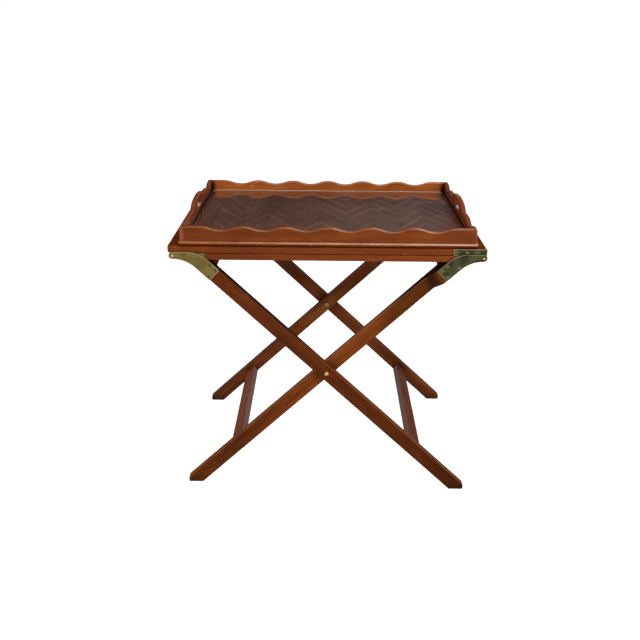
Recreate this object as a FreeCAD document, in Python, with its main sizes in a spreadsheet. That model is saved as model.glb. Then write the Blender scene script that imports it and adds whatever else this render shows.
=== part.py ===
"""A folding butler's tray table: a galleried tray on a two-board top with crossed legs.

Millimetres. +X runs along the table, +Z is up, and -Y is the front. The origin lies on the
floor under the middle of the table. The outer legs rise to the left, the inner legs to the right.
"""
import FreeCAD, Part
import math
import os
import Sketcher
from types import SimpleNamespace

Vector = FreeCAD.Vector
FRONT, BACK = -1, 1

# Driving sizes
SIZES = {
    # Table top: an upper board that slides over a lower frame
    "board_length": 660.0,
    "board_depth": 492.0,
    "top_height": 568.0,
    "upper_thickness": 14.0,
    "upper_overhang": 4.5,
    "upper_corner": 10.0,
    "upper_edge": 2.5,
    "lower_thickness": 14.0,
    "lower_edge": 1.5,
    "lower_setback": 0.4,
    "board_gap": 0.4,
    "frame_rail_width": 45.0,
    "tongue_length": 12.0,
    "tongue_thickness": 4.5,
    "tongue_shoulder": 12.0,
    "end_bevel_run": 22.0,
    "end_bevel_rise": 8.0,
    "batten_width": 40.0,
    "batten_thickness": 11.0,
    "batten_end_room": 2.0,
    "stop_clearance": 0.3,
    # Tray
    "base_end_reveal": 18.5,
    "base_side_reveal": 1.5,
    "base_thickness": 8.5,
    "base_corner": 6.0,
    "base_edge": 4.0,
    "felt_thickness": 1.3,
    "felt_radius": 12.0,
    "felt_inset": 40.0,
    "rest_clearance": 0.3,
    "wall_inset": 4.0,
    "wall_thickness": 10.0,
    "wall_height": 31.6,
    "wall_edge": 3.0,
    "wave_end": 40.5,
    "side_wave_end": 21.0,
    "wave_depth": 8.0,
    "handle_reach": 85.0,
    "handle_rise": 15.0,
    "shoulder_inset": 35.0,
    "shoulder_drop": 3.4,
    "notch_drop": 3.0,
    "lobe_round": 20.0,
    "lobe_flat": 25.5,
    "slot_inset": 53.0,
    "slot_height": 13.0,
    "slot_drop": 12.0,
    "slot_edge": 2.0,
    "panel_thickness": 3.0,
    "panel_clearance": 0.3,
    "glass_thickness": 6.0,
    "glass_side_gap": 6.0,
    "glass_corner": 12.0,
    "glass_edge": 0.8,
    "gallery_screw_step": 200.0,
    "gallery_screw_side_step": 130.0,
    "gallery_screw_length": 26.0,
    # Legs
    "pivot_lift": 15.9,
    "leg_width": 30.0,
    "leg_thickness": 20.0,
    "leg_edge": 1.5,
    "leg_gap": 1.6,
    "head_clearance": 0.8,
    "head_inset": 52.9,
    "foot_reach": 10.0,
    "foot_round": 3.0,
    "stretcher_to_floor": 151.0,
    "stretcher_width": 30.0,
    "stretcher_thickness": 17.0,
    "stretcher_shift": 5.5,
    "top_rail_to_head": 17.6,
    "top_rail_width": 21.0,
    "tenon_length": 8.0,
    "tenon_shoulder": 3.0,
    "joint_clearance": 0.05,
    "block_tail": 8.5,
    # Brass plates, pins and screws
    "plate_thickness": 2.0,
    "plate_gap": 0.3,
    "pin_inset": 6.7,
    "pin_drop": 4.0,
    "pin_radius": 1.75,
    "pin_head_radius": 3.0,
    "pin_head_height": 1.0,
    "pin_end_gap": 0.2,
    "pin_clearance": 0.06,
    "tip_radius": 7.5,
    "shoulder_start": 31.0,
    "neck_start": 1.0,
    "outer_plate_reach": 92.5,
    "inner_plate_reach": 88.5,
    "screw_end_inset": 7.0,
    "screw_near_step": 15.0,
    "screw_far_step": 31.0,
    "screw_edge_inset": 5.5,
    "ear_radius": 6.5,
    "upper_plate_reach": 62.8,
    "lower_plate_reach": 66.7,
    "hinge_screw_inset": 6.0,
    "hinge_screw_step": 22.0,
    "screw_radius": 1.75,
    "screw_head_radius": 3.3,
    "screw_grip": 9.0,
    "screw_clearance": 0.05,
    "slot_width": 0.8,
    "slot_depth": 0.6,
    # Centre pivots
    "bolt_radius": 4.0,
    "bolt_clearance": 0.05,
    "bolt_head_radius": 5.2,
    "bolt_head_height": 3.2,
    "cup_radius": 7.5,
    "cup_recess_radius": 3.0,
    "cup_recess_depth": 1.6,
    "washer_radius": 11.0,
    "washer_thickness": 1.0,
    "nut_radius": 6.8,
    "nut_height": 3.2,
}
TROUGHS = 6
NUT_SIDES = 6


class Size:
    """A size that keeps its formula for the document next to its present value."""

    def __init__(self, formula, number):
        self.formula = formula
        self.number = number

    def join(self, sign, other, number):
        text = other.formula if isinstance(other, Size) else repr(other)
        return Size(f"({self.formula} {sign} {text})", number)

    def __add__(self, other):
        return self.join("+", other, self.number + plain(other))

    def __sub__(self, other):
        return self.join("-", other, self.number - plain(other))

    def __mul__(self, other):
        return self.join("*", other, self.number * plain(other))

    def __truediv__(self, other):
        return self.join("/", other, self.number / plain(other))

    def __neg__(self):
        return Size(f"(0 - {self.formula})", -self.number)

    def root(self):
        return Size(f"sqrt({self.formula})", math.sqrt(self.number))


def plain(size):
    return size.number if isinstance(size, Size) else size


NOTHING = Size("0", 0.0)


doc = FreeCAD.newDocument("tray_table")
sheet = doc.addObject("Spreadsheet::Sheet", "sizes")
for row, (alias, number) in enumerate(SIZES.items(), 1):
    sheet.set(f"A{row}", alias)
    sheet.set(f"B{row}", str(number))
    sheet.setAlias(f"B{row}", alias)
doc.recompute()
derived = doc.addObject("App::VarSet", "derived")
size = SimpleNamespace(**{alias: Size(f"<<sizes>>.{alias}", float(sheet.get(alias))) for alias in SIZES})


def derive(name, worked_out):
    """Names a value that follows from the driving sizes."""
    derived.addProperty("App::PropertyFloat", name)
    derived.setExpression(name, worked_out.formula)
    return Size(f"<<derived>>.{name}", worked_out.number)


# Levels and faces that several pieces share
upper_bottom = derive("upper_bottom", size.top_height - size.upper_thickness)
lower_top = derive("lower_top", upper_bottom - size.board_gap)
lower_bottom = derive("lower_bottom", lower_top - size.lower_thickness)
head_level = derive("head_level", lower_bottom - size.head_clearance)
pin_x = derive("pin_x", size.board_length / 2 - size.pin_inset)
pin_z = derive("pin_z", lower_top - size.pin_drop)
half_length = derive("half_length", size.board_length / 2)
board_face = derive("board_face", size.board_depth / 2)
frame_face = derive("frame_face", board_face - size.lower_setback)
frame_inner = derive("frame_inner", frame_face - size.frame_rail_width)
outer_face = derive("outer_face", board_face + size.plate_thickness + size.plate_gap)
outer_back = derive("outer_back", outer_face - size.leg_thickness)
inner_face = derive("inner_face", outer_back - size.leg_gap)
inner_back = derive("inner_back", inner_face - size.leg_thickness)
plate_face = derive("plate_face", outer_face + size.plate_thickness)

# Slope of the legs, and the corner pin seen along a leg
pivot_height = derive("pivot_height", head_level / 2 + size.pivot_lift)
run = derive("leg_run", pin_x - size.head_inset)
rise = derive("leg_rise", head_level - pivot_height)
span = derive("leg_span", (run * run + rise * rise).root())
sine = derive("leg_sine", rise / span)
cosine = derive("leg_cosine", run / span)
half_turn = derive("half_turn", sine / (cosine + 1))
pin_rise = derive("pin_rise", pin_z - pivot_height)
pin_u = derive("pin_u", -(pin_x * cosine) - pin_rise * sine)
pin_v = derive("pin_v", pin_rise * cosine - pin_x * sine)
half_leg = derive("half_leg", size.leg_width / 2)
outer_plate_end = derive("outer_plate_end", pin_u + size.outer_plate_reach)
inner_plate_end = derive("inner_plate_end", pin_u + size.inner_plate_reach)

# Tray levels
base_bottom = derive("base_bottom", size.top_height + size.rest_clearance + size.felt_thickness)
base_top = derive("base_top", base_bottom + size.base_thickness)
wall_top = derive("wall_top", base_top + size.wall_height)
base_x = derive("base_x", half_length - size.base_end_reveal)
base_y = derive("base_y", board_face - size.base_side_reveal)
wall_x = derive("wall_x", base_x - size.wall_inset)
wall_y = derive("wall_y", base_y - size.wall_inset)
inside_x = derive("inside_x", wall_x - size.wall_thickness)
inside_y = derive("inside_y", wall_y - size.wall_thickness)
glass_bottom = derive("glass_bottom", base_top + size.panel_thickness + size.rest_clearance)
wave_pitch = derive("wave_pitch", (wall_x - size.wave_end) * 2 / TROUGHS)
lobe_end = derive("lobe_end", size.handle_reach + size.lobe_round + size.lobe_flat)
side_wave_pitch = derive("side_wave_pitch", wall_y - size.side_wave_end - lobe_end)
doc.recompute()


# Drawing helpers
def bind(thing, path, bound_size):
    thing.setExpression(path, bound_size.formula)


def new_body(name):
    body = doc.addObject("PartDesign::Body", name)
    body.Label = name
    return body


def new_sketch(body, name, role, level):
    sketch = body.newObject("Sketcher::SketchObject", f"{body.Name}_{name}")
    plane = next(feature for feature in body.Origin.OriginFeatures if feature.Role == role)
    sketch.AttachmentSupport = [(plane, "")]
    sketch.MapMode = "FlatFace"
    bind(sketch, "AttachmentOffset.Base.z", level)
    return sketch


def pin_point(sketch, geometry, point, corner):
    """Ties one point of a sketch to its distances from the sketch's origin."""
    for kind, distance in zip(("DistanceX", "DistanceY"), corner):
        index = sketch.addConstraint(
            Sketcher.Constraint(kind, -1, 1, geometry, point, plain(distance)))
        bind(sketch, f"Constraints[{index}]", distance)


def arc_between(start, end, radius):
    """An arc from start to end that turns to the left."""
    chord = end - start
    left = Vector(-chord.y, chord.x, 0).normalize()
    reach = math.sqrt(max(radius ** 2 - (chord.Length / 2) ** 2, 0))
    centre = (start + end) / 2 + left * reach
    first = math.atan2(start.y - centre.y, start.x - centre.x)
    last = math.atan2(end.y - centre.y, end.x - centre.x)
    return Part.ArcOfCircle(Part.Circle(centre, Vector(0, 0, 1), radius), first, last)


def draw_outline(sketch, corners, bends=None):
    """A closed outline. A bend makes the side after its corner an arc: radius, and 1 for a left turn."""
    bends = bends or {}
    spots = [Vector(plain(across), plain(along), 0) for across, along in corners]
    ends = []
    for place, start in enumerate(spots):
        finish = spots[(place + 1) % len(spots)]
        if place not in bends:
            side = sketch.addGeometry(Part.LineSegment(start, finish), False)
            ends.append((side, 1, 2))
            continue
        radius, turn = bends[place]
        pair = (start, finish) if turn > 0 else (finish, start)
        side = sketch.addGeometry(arc_between(*pair, plain(radius)), False)
        ends.append((side, 1, 2) if turn > 0 else (side, 2, 1))
        index = sketch.addConstraint(Sketcher.Constraint("Radius", side, plain(radius)))
        bind(sketch, f"Constraints[{index}]", radius)
    for place, (side, first, last) in enumerate(ends):
        following = ends[(place + 1) % len(ends)]
        sketch.addConstraint(Sketcher.Constraint("Coincident", side, last, following[0], following[1]))
        pin_point(sketch, side, first, corners[place])


def draw_circles(sketch, centres, radius):
    for centre in centres:
        spot = Vector(plain(centre[0]), plain(centre[1]), 0)
        ring = sketch.addGeometry(Part.Circle(spot, Vector(0, 0, 1), plain(radius)), False)
        index = sketch.addConstraint(Sketcher.Constraint("Radius", ring, plain(radius)))
        bind(sketch, f"Constraints[{index}]", radius)
        pin_point(sketch, ring, 3, centre)


def box_corners(low_x, high_x, low_y, high_y):
    return [(low_x, low_y), (high_x, low_y), (high_x, high_y), (low_x, high_y)]


def pad(body, sketch, length):
    feature = body.newObject("PartDesign::Pad", f"{sketch.Name}_pad")
    feature.Profile = sketch
    bind(feature, "Length", length)
    doc.recompute()
    return feature


def pad_up(body, name, corners, low, high, bends=None):
    """A prism drawn in plan that stands from one level to another."""
    sketch = new_sketch(body, name, "XY_Plane", low)
    draw_outline(sketch, corners, bends)
    return pad(body, sketch, high - low)


def pad_through(body, name, corners, low, high, bends=None):
    """A prism drawn in front view that runs from low to high along Y."""
    sketch = new_sketch(body, name, "XZ_Plane", -high)
    draw_outline(sketch, corners, bends)
    return pad(body, sketch, high - low)


def pocket(body, sketch, depth, reverse):
    before = body.Shape.Volume
    feature = body.newObject("PartDesign::Pocket", f"{sketch.Name}_cut")
    feature.Profile = sketch
    feature.Reversed = reverse
    bind(feature, "Length", depth)
    doc.recompute()
    if body.Shape.Volume >= before:
        raise RuntimeError(f"{sketch.Name} cuts nothing")


def bore_along_y(body, name, centres, radius, start, depth, toward):
    """Round holes drilled along Y from a face, toward +Y or -Y."""
    sketch = new_sketch(body, name, "XZ_Plane", -start)
    draw_circles(sketch, centres, radius)
    pocket(body, sketch, depth, toward == FRONT)


def mortise_along_y(body, name, corners, start, depth, toward):
    sketch = new_sketch(body, name, "XZ_Plane", -start)
    draw_outline(sketch, corners)
    pocket(body, sketch, depth, toward == FRONT)


def countersink(body, name, role, centres, level, reverse):
    """Screw holes right through a plate, opened at the face for flat heads."""
    before = body.Shape.Volume
    sketch = new_sketch(body, name, role, level)
    draw_circles(sketch, centres, size.screw_radius + size.screw_clearance)
    doc.recompute()
    hole = body.newObject("PartDesign::Hole", f"{sketch.Name}_hole")
    hole.Profile = sketch
    doc.recompute()
    hole.Threaded = False
    hole.Reversed = reverse
    hole.DepthType = "ThroughAll"
    hole.HoleCutType = "Countersink"
    hole.HoleCutCountersinkAngle = 90
    bind(hole, "Diameter", (size.screw_radius + size.screw_clearance) * 2)
    bind(hole, "HoleCutDiameter", (size.screw_head_radius + size.screw_clearance) * 2)
    doc.recompute()
    if body.Shape.Volume >= before:
        raise RuntimeError(f"{sketch.Name} cuts nothing")


def round_edges(body, name, radius, wanted):
    """Rounds the edges of the last feature for which wanted is true."""
    base = body.Tip
    edges = [f"Edge{place}" for place, edge in enumerate(base.Shape.Edges, 1) if wanted(edge)]
    feature = body.newObject("PartDesign::Fillet", f"{body.Name}_{name}")
    feature.Base = (base, edges)
    bind(feature, "Radius", radius)
    doc.recompute()


def runs_along(edge, axis):
    if not isinstance(edge.Curve, (Part.Line, Part.LineSegment)):
        return False
    first, last = edge.Vertexes[0].Point, edge.Vertexes[-1].Point
    return abs((last - first).normalize().dot(axis)) > 0.999


def lies_flat(edge):
    """True for an edge that stays at one level."""
    return edge.BoundBox.ZLength < 0.001


def new_group(name, solids):
    """Separate pieces of one kind, kept together under one name."""
    group = doc.addObject("Part::Feature", name)
    group.Label = name
    group.Shape = Part.makeCompound(solids) if len(solids) > 1 else solids[0]
    return group


def leg_frame(piece, turn):
    slope = f"rotation(vector(0; 1; 0); atan2({rise.formula}; {run.formula}))"
    centre = f"vector(0; 0; {pivot_height.formula})"
    piece.setExpression("Placement", f"placement({centre}; rotation(vector(0; 0; 1); {turn}) * {slope})")


def outer_frame(piece):
    """Puts a piece drawn along a leg into the outer legs' slope, about the centre pivot."""
    leg_frame(piece, 0)


def inner_frame(piece):
    """The same for the inner legs, which are the outer ones turned half round."""
    leg_frame(piece, 180)


# Tray
def tray_base_board():
    body = new_body("tray_base_board")
    pad_up(body, "plan", box_corners(-base_x, base_x, -base_y, base_y), base_bottom, base_top)
    round_edges(body, "corners", size.base_corner, lambda edge: runs_along(edge, Vector(0, 0, 1)))
    round_edges(body, "bullnose", size.base_edge, lies_flat)
    countersink(body, "gallery_holes", "XY_Plane", gallery_spots(), base_bottom, True)


def gallery_spots():
    """Where screws rise from under the base board into the middle of each wall."""
    middle = size.wall_thickness / 2
    along = [(size.gallery_screw_step * place, (wall_y - middle) * side)
             for side in (FRONT, BACK) for place in (-1, 0, 1)]
    across = [((wall_x - middle) * side, size.gallery_screw_side_step * place)
              for side in (-1, 1) for place in (-1, 1)]
    return along + across


def level_arc(level, other):
    """An arc that leaves a level point without a slope and ends at another point."""
    chord = other - level
    across = Vector(math.copysign(1, chord.x), 0, 0)
    slant = math.atan2(abs(chord.y), abs(chord.x))
    direction = Vector(chord).normalize()
    bulge = (across - direction * across.dot(direction)).normalize()
    through = (level + other) / 2 + bulge * (chord.Length / 2) * math.tan(slant / 2)
    return Part.Arc(level, through, other).toShape()


def trough(start, crest, pitch, depth):
    """One dip of the wave, from the crest before it to the crest after it."""
    step = pitch / 4
    points = [Vector(start + step * place, crest - depth * fall, 0)
              for place, fall in enumerate((0, 0.5, 1, 0.5, 0))]
    bottom = Part.Arc(*points[1:4]).toShape()
    return [level_arc(points[0], points[1]), bottom, level_arc(points[4], points[3])]


def line(start, finish):
    return Part.LineSegment(start, finish).toShape()


def long_wall_edges(half, top):
    """The wavy upper edge of a long wall, level at both ends."""
    pitch = plain(wave_pitch)
    first = -TROUGHS * pitch / 2
    edges = [line(Vector(-half, top, 0), Vector(first, top, 0))]
    for place in range(TROUGHS):
        edges += trough(first + place * pitch, top, pitch, plain(size.wave_depth))
    return edges + [line(Vector(-first, top, 0), Vector(half, top, 0))]


def handle_wall_edges(half, top):
    """The upper edge of an end wall: a handle arch between notches, lobes and dips."""
    reach = plain(size.handle_reach)
    notch = Vector(reach, top - plain(size.notch_drop), 0)
    lobe = Vector(reach + plain(size.lobe_round), top, 0)
    dip = Vector(plain(lobe_end), top, 0)
    flat = Vector(dip.x + plain(side_wave_pitch), top, 0)
    shoulder_level = top + plain(size.handle_rise) - plain(size.shoulder_drop)
    shoulder = Vector(reach - plain(size.shoulder_inset), shoulder_level, 0)
    crown = Vector(0, top + plain(size.handle_rise), 0)
    half_side = [level_arc(lobe, notch), line(lobe, dip)]
    half_side += trough(dip.x, top, plain(side_wave_pitch), plain(size.wave_depth))
    half_side += [line(flat, Vector(half, top, 0)), shoulder_arc(crown, shoulder, notch)]
    mirrored = [edge.mirror(Vector(), Vector(1, 0, 0)) for edge in half_side]
    arch = Part.Arc(Vector(-shoulder.x, shoulder.y, 0), crown, shoulder).toShape()
    return mirrored + [arch] + half_side


def shoulder_arc(crown, shoulder, notch):
    """Carries the crown's arc on round the shoulder, down to the notch."""
    drop = crown.y - shoulder.y
    radius = (shoulder.x ** 2 + drop ** 2) / (2 * drop)
    tangent = Vector(radius - drop, -shoulder.x, 0).normalize()
    chord = notch - shoulder
    direction = Vector(chord).normalize()
    bulge = tangent - direction * tangent.dot(direction)
    turn = math.atan2(bulge.Length, tangent.dot(direction))
    through = (shoulder + notch) / 2 + bulge.normalize() * (chord.Length / 2) * math.tan(turn / 2)
    return Part.Arc(shoulder, through, notch).toShape()


def wall_solid(edges, half):
    """A wall drawn upright in plan and tipped up: along X, with its outer face at y = 0."""
    bottom = plain(base_top)
    ends = [Vector(side * half, bottom, 0) for side in (-1, 1)]
    tops = [Vector(side * half, plain(wall_top), 0) for side in (-1, 1)]
    outline = edges + [line(ends[0], ends[1]), line(ends[0], tops[0]), line(ends[1], tops[1])]
    face = Part.Face(Part.Wire(Part.sortEdges(outline)[0]))
    solid = face.extrude(Vector(0, 0, -plain(size.wall_thickness)))
    solid = solid.makeFillet(plain(size.wall_edge), [edge for edge in solid.Edges if is_rim(edge)])
    solid.rotate(Vector(), Vector(1, 0, 0), 90)
    return solid


def is_rim(edge):
    """True for the upper edges of a wall that run along it."""
    highest = edge.BoundBox.YMax > plain(base_top) + plain(size.wall_height) / 2
    return highest and edge.BoundBox.ZLength < 0.001 and edge.BoundBox.XLength > 0.001


def mitre(solid, half):
    """Cuts both ends of a wall at 45 degrees, keeping the outer face whole."""
    depth = plain(size.wall_thickness)
    bottom = plain(base_top)
    tall = Vector(0, 0, plain(size.wall_height) * 2)
    for side in (-1, 1):
        corner = Vector(side * half, 0, bottom)
        points = [corner, corner + Vector(0, depth, 0), corner + Vector(-side * depth, depth, 0), corner]
        solid = solid.cut(Part.Face(Part.makePolygon(points)).extrude(tall))
    return solid


def drill_up(solid, spots):
    """Pilot holes for the gallery screws, upward from the underside of a wall."""
    radius = plain(size.screw_radius) + plain(size.screw_clearance)
    depth = plain(size.gallery_screw_length) - plain(size.base_thickness) + plain(size.screw_clearance)
    for along in spots:
        spot = Vector(along, plain(size.wall_thickness) / 2, plain(base_top))
        solid = solid.cut(Part.makeCylinder(radius, depth, spot))
    return solid


def add_wall(name, solid, turn, reach):
    """Stands a finished wall on the base board, turned about Z and pushed out to its place."""
    piece = doc.addObject("Part::Feature", name)
    piece.Label = name
    piece.Shape = solid
    rotation = FreeCAD.Rotation(Vector(0, 0, 1), turn)
    piece.Placement = FreeCAD.Placement(rotation.multVec(Vector(0, -reach, 0)), rotation)


def gallery_walls():
    half_x, half_y = plain(wall_x), plain(wall_y)
    top = plain(wall_top)
    step = plain(size.gallery_screw_step)
    side_step = plain(size.gallery_screw_side_step)
    long_wall = mitre(wall_solid(long_wall_edges(half_x, top), half_x), half_x)
    long_wall = drill_up(long_wall, (-step, 0, step))
    add_wall("tray_front_rail", long_wall, 0, half_y)
    add_wall("tray_back_rail", long_wall, 180, half_y)
    end_wall = mitre(wall_solid(handle_wall_edges(half_y, top), half_y), half_y)
    end_wall = drill_up(open_slot(end_wall, hand_slot(top)), (-side_step, side_step))
    add_wall("tray_right_handle_rail", end_wall, 90, half_x)
    add_wall("tray_left_handle_rail", end_wall, -90, half_x)


def hand_slot(top):
    """The round-ended opening under the handle arch."""
    height, depth = plain(size.slot_height), plain(size.wall_thickness)
    ceiling = top + plain(size.handle_rise) - plain(size.slot_drop)
    middle = ceiling - height / 2
    straight = plain(size.handle_reach) - plain(size.slot_inset) - height / 2
    slot = Part.makeBox(straight * 2, depth, height, Vector(-straight, 0, ceiling - height))
    for side in (-1, 1):
        spot = Vector(side * straight, 0, middle)
        slot = slot.fuse(Part.makeCylinder(height / 2, depth, spot, Vector(0, 1, 0)))
    return slot.removeSplitter()


def open_slot(solid, slot):
    """Cuts the hand slot through a wall and rounds its mouth on both faces."""
    solid = solid.cut(slot)
    reach = slot.BoundBox
    reach.enlarge(plain(size.joint_clearance))
    mouths = [edge for edge in solid.Edges
              if reach.isInside(edge.BoundBox) and edge.BoundBox.YLength < 0.001]
    return solid.makeFillet(plain(size.slot_edge), mouths)


def herringbone_panel():
    panel = doc.addObject("Part::Box", "herringbone_panel")
    panel.Label = "herringbone_panel"
    half_x = inside_x - size.panel_clearance
    half_y = inside_y - size.panel_clearance
    bind(panel, "Length", half_x * 2)
    bind(panel, "Width", half_y * 2)
    bind(panel, "Height", size.panel_thickness)
    bind(panel, "Placement.Base.x", -half_x)
    bind(panel, "Placement.Base.y", -half_y)
    bind(panel, "Placement.Base.z", base_top)


def glass_panel():
    body = new_body("glass_panel")
    half_x = inside_x - size.glass_side_gap
    half_y = inside_y - size.glass_side_gap
    corners = box_corners(-half_x, half_x, -half_y, half_y)
    pad_up(body, "plan", corners, glass_bottom, glass_bottom + size.glass_thickness)
    round_edges(body, "corners", size.glass_corner, lambda edge: runs_along(edge, Vector(0, 0, 1)))
    round_edges(body, "arris", size.glass_edge, lies_flat)


def tray_felt_pads():
    inset = plain(size.felt_inset)
    reach_x, reach_y = plain(wall_x) - inset, plain(wall_y) - inset
    level = plain(size.top_height) + plain(size.rest_clearance)
    pads = [Part.makeCylinder(plain(size.felt_radius), plain(size.felt_thickness),
                              Vector(side_x * reach_x, side_y * reach_y, level))
            for side_x in (-1, 1) for side_y in (FRONT, BACK)]
    new_group("tray_felt_pads", pads)


# Upper board and lower frame
def upper_board_panel():
    body = new_body("upper_board_panel")
    corner = size.upper_corner
    end = -half_length - size.upper_overhang
    corners = [(end + corner, -board_face), (half_length, -board_face),
               (half_length, board_face), (end + corner, board_face),
               (end, board_face - corner), (end, -board_face + corner)]
    bends = {3: (corner, 1), 5: (corner, 1)}
    pad_up(body, "plan", corners, upper_bottom, size.top_height, bends)
    round_edges(body, "edges", size.upper_edge, lies_flat)
    for side in (FRONT, BACK):
        bore_along_y(body, f"pilots_{word(side)}", upper_screw_spots(), pilot_radius(),
                     board_face * side, pilot_depth(), -side)


def word(side):
    return "front" if side == FRONT else "back"


def pilot_radius():
    return size.screw_radius + size.screw_clearance


def pilot_depth():
    return size.screw_grip + size.screw_clearance


def upper_screw_spots():
    middle = upper_bottom + size.upper_thickness / 2
    first = pin_x - size.upper_plate_reach + size.hinge_screw_inset
    return [(first + size.hinge_screw_step * place, middle) for place in (0, 1, 2)]


def lower_screw_spots():
    middle = lower_bottom + size.lower_thickness / 2
    first = -pin_x + size.lower_plate_reach - size.hinge_screw_inset
    return [(first - size.hinge_screw_step * place, middle) for place in (0, 1, 2)]


def stop_batten():
    """Hangs in the lower frame and meets its right rail, so that the legs spread no further."""
    body = new_body("stop_batten")
    high_x = half_length - size.frame_rail_width - size.stop_clearance
    half_y = frame_inner - size.batten_end_room
    corners = box_corners(high_x - size.batten_width, high_x, -half_y, half_y)
    pad_up(body, "plan", corners, upper_bottom - size.batten_thickness, upper_bottom)


def tongue_corners(low_x, slack):
    """Section of a cross rail's tongue in the lower frame, seen from the front."""
    middle = lower_bottom + size.lower_thickness / 2
    reach = size.tongue_thickness / 2 + slack
    inset = size.tongue_shoulder - slack
    return box_corners(low_x + inset, low_x + size.frame_rail_width - inset, middle - reach, middle + reach)


def cross_rail_starts():
    return {"left": -half_length, "right": half_length - size.frame_rail_width}


def lower_side_rail(side):
    body = new_body(f"lower_{word(side)}_rail")
    reaches = sorted((frame_inner * side, frame_face * side), key=plain)
    heel = lower_bottom + size.end_bevel_rise
    reach = half_length - size.end_bevel_run
    outline = [(-half_length, heel), (-reach, lower_bottom), (reach, lower_bottom), (half_length, heel),
               (half_length, lower_top), (-half_length, lower_top)]
    pad_through(body, "outline", outline, *reaches)
    outer = plain(frame_face) * side
    round_edges(body, "edges", size.lower_edge, lambda edge: not runs_along(edge, Vector(0, 0, 1))
                and abs(edge.CenterOfMass.y - outer) < 0.001)
    slack = size.joint_clearance
    for place, low_x in cross_rail_starts().items():
        mortise_along_y(body, f"{place}_mortise", tongue_corners(low_x, slack), frame_inner * side,
                        size.tongue_length + slack, side)
    bore_along_y(body, "pilots", lower_screw_spots(), pilot_radius(), frame_face * side,
                 pilot_depth(), -side)


def lower_cross_rail(place, low_x):
    body = new_body(f"lower_{place}_rail")
    heel = lower_bottom + size.end_bevel_rise
    if place == "left":
        end, inside = low_x, low_x + size.frame_rail_width
        toe = end + size.end_bevel_run
    else:
        end, inside = low_x + size.frame_rail_width, low_x
        toe = end - size.end_bevel_run
    section = [(end, heel), (toe, lower_bottom), (inside, lower_bottom), (inside, lower_top), (end, lower_top)]
    pad_through(body, "section", section, -frame_inner, frame_inner)
    reach = frame_inner + size.tongue_length
    pad_through(body, "tongue", tongue_corners(low_x, NOTHING), -reach, reach)


def upper_hinge_plate(side):
    """A plate along the upper board's edge with an ear that carries the pin."""
    body = new_body(f"upper_hinge_plate_{word(side)}")
    ear = size.ear_radius
    end = pin_x - size.upper_plate_reach
    corners = [(end, upper_bottom), (pin_x - ear, upper_bottom), (pin_x - ear, pin_z),
               (pin_x, pin_z - ear), (pin_x + ear, pin_z), (pin_x + ear, size.top_height),
               (end, size.top_height)]
    reaches = sorted((board_face * side, (board_face + size.plate_thickness) * side), key=plain)
    pad_through(body, "outline", corners, *reaches, {2: (ear, 1), 3: (ear, 1)})
    finish_hinge_plate(body, side, (pin_x, pin_z), upper_screw_spots(), board_face)


def lower_hinge_plate(side):
    """A plate along the lower frame's edge that carries the pin in its outer end."""
    body = new_body(f"lower_hinge_plate_{word(side)}")
    end = -pin_x + size.lower_plate_reach
    corners = [(-half_length, lower_bottom + size.end_bevel_rise),
               (-half_length + size.end_bevel_run, lower_bottom), (end, lower_bottom),
               (end, lower_top), (-half_length, lower_top)]
    reaches = sorted((frame_face * side, (frame_face + size.plate_thickness) * side), key=plain)
    pad_through(body, "outline", corners, *reaches)
    finish_hinge_plate(body, side, (-pin_x, pin_z), lower_screw_spots(), frame_face)


def finish_hinge_plate(body, side, pin, screws, seat):
    outer = (seat + size.plate_thickness) * side
    bore_along_y(body, "pin_bore", [pin], size.pin_radius + size.pin_clearance, outer,
                 size.plate_thickness, -side)
    countersink(body, "screw_holes", "XZ_Plane", screws, -outer, side == BACK)


# Legs: drawn along the leg, with u down the leg and v across it, about the centre pivot
def head_u(v):
    """Where the level cut of a leg's head meets a line at v across the leg."""
    return (v * cosine - rise) / sine


def leg(name, side, outer, place, rails, plate_end):
    """One leg from low to high along Y, with its bore and the mortises of its rails."""
    body = new_body(name)
    tip = pivot_height * cosine / sine + size.foot_reach
    corners = [(head_u(-half_leg), -half_leg),
               ((pivot_height - half_leg * cosine) / sine, -half_leg),
               (tip * cosine + pivot_height * sine, tip * sine - pivot_height * cosine),
               ((tip - half_leg * sine) / cosine, half_leg),
               (head_u(half_leg), half_leg)]
    inner = outer - size.leg_thickness
    reaches = sorted((inner * side, outer * side), key=plain)
    pad_through(body, "outline", corners, *reaches)
    floor_u = plain(corners[1][0])
    round_edges(body, "foot", size.foot_round, lambda edge: runs_along(edge, Vector(0, 1, 0))
                and edge.CenterOfMass.x > floor_u + plain(size.leg_edge))
    round_edges(body, "edges", size.leg_edge, lambda edge: runs_along(edge, Vector(1, 0, 0)))
    bore_along_y(body, "pivot_bore", [(NOTHING, NOTHING)], size.bolt_radius + size.bolt_clearance,
                 outer * side, size.leg_thickness, -side)
    slack = size.joint_clearance
    for rail, section in rails.items():
        mortise_along_y(body, f"{rail}_mortise", tenon_corners(section, slack), inner * side,
                        size.tenon_length + slack, side)
    bore_along_y(body, "pilots", leg_screw_spots(plate_end), pilot_radius(), outer * side,
                 pilot_depth(), -side)
    place(body)


def stretcher_section():
    low_u = pivot_height / sine - size.stretcher_to_floor
    low_v = -(size.stretcher_thickness / 2) - size.stretcher_shift
    return (low_u, low_u + size.stretcher_width, low_v, low_v + size.stretcher_thickness)


def top_rail_section():
    low_u = size.top_rail_to_head - span
    return (low_u, low_u + size.top_rail_width, half_leg - size.stretcher_thickness, half_leg)


def tenon_corners(section, slack):
    inset = size.tenon_shoulder - slack
    low_u, high_u, low_v, high_v = section
    return box_corners(low_u + inset, high_u - inset, low_v + inset, high_v - inset)


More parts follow.
